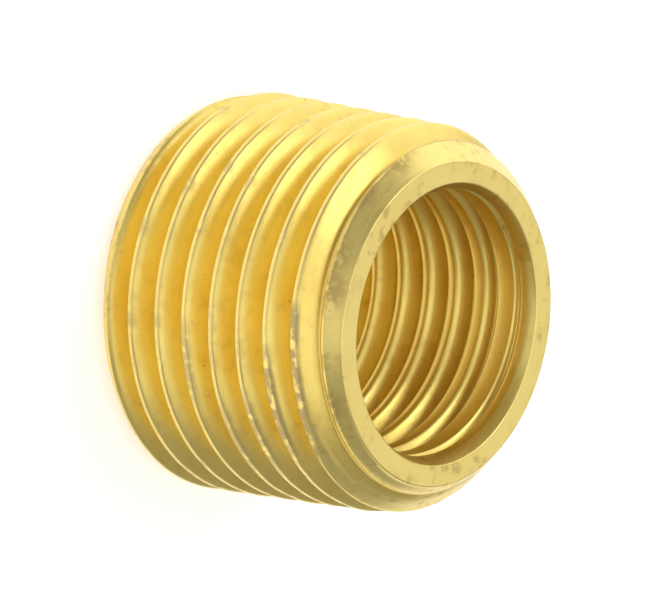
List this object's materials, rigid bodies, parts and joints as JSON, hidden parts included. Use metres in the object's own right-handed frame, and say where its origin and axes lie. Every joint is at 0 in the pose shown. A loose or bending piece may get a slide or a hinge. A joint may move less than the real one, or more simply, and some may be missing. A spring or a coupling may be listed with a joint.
{
  "type": "reducing bushing",
  "caption": "Hexless reducing face bushing: a short brass ring with a right-hand taper pipe thread outside and a smaller one through it.",
  "frame": {"origin": "centre of the flat large end, on the thread axis", "axes": "+Z along the thread axis, from the large end to the small bevelled end"},
  "size_m": [0.0168, 0.0167, 0.012],
  "materials": {
    "brass": "machined, satin, lightly tarnished"
  },
  "bodies": {
    "root": {"bushing_body": "brass"}
  },
  "joints": []
}
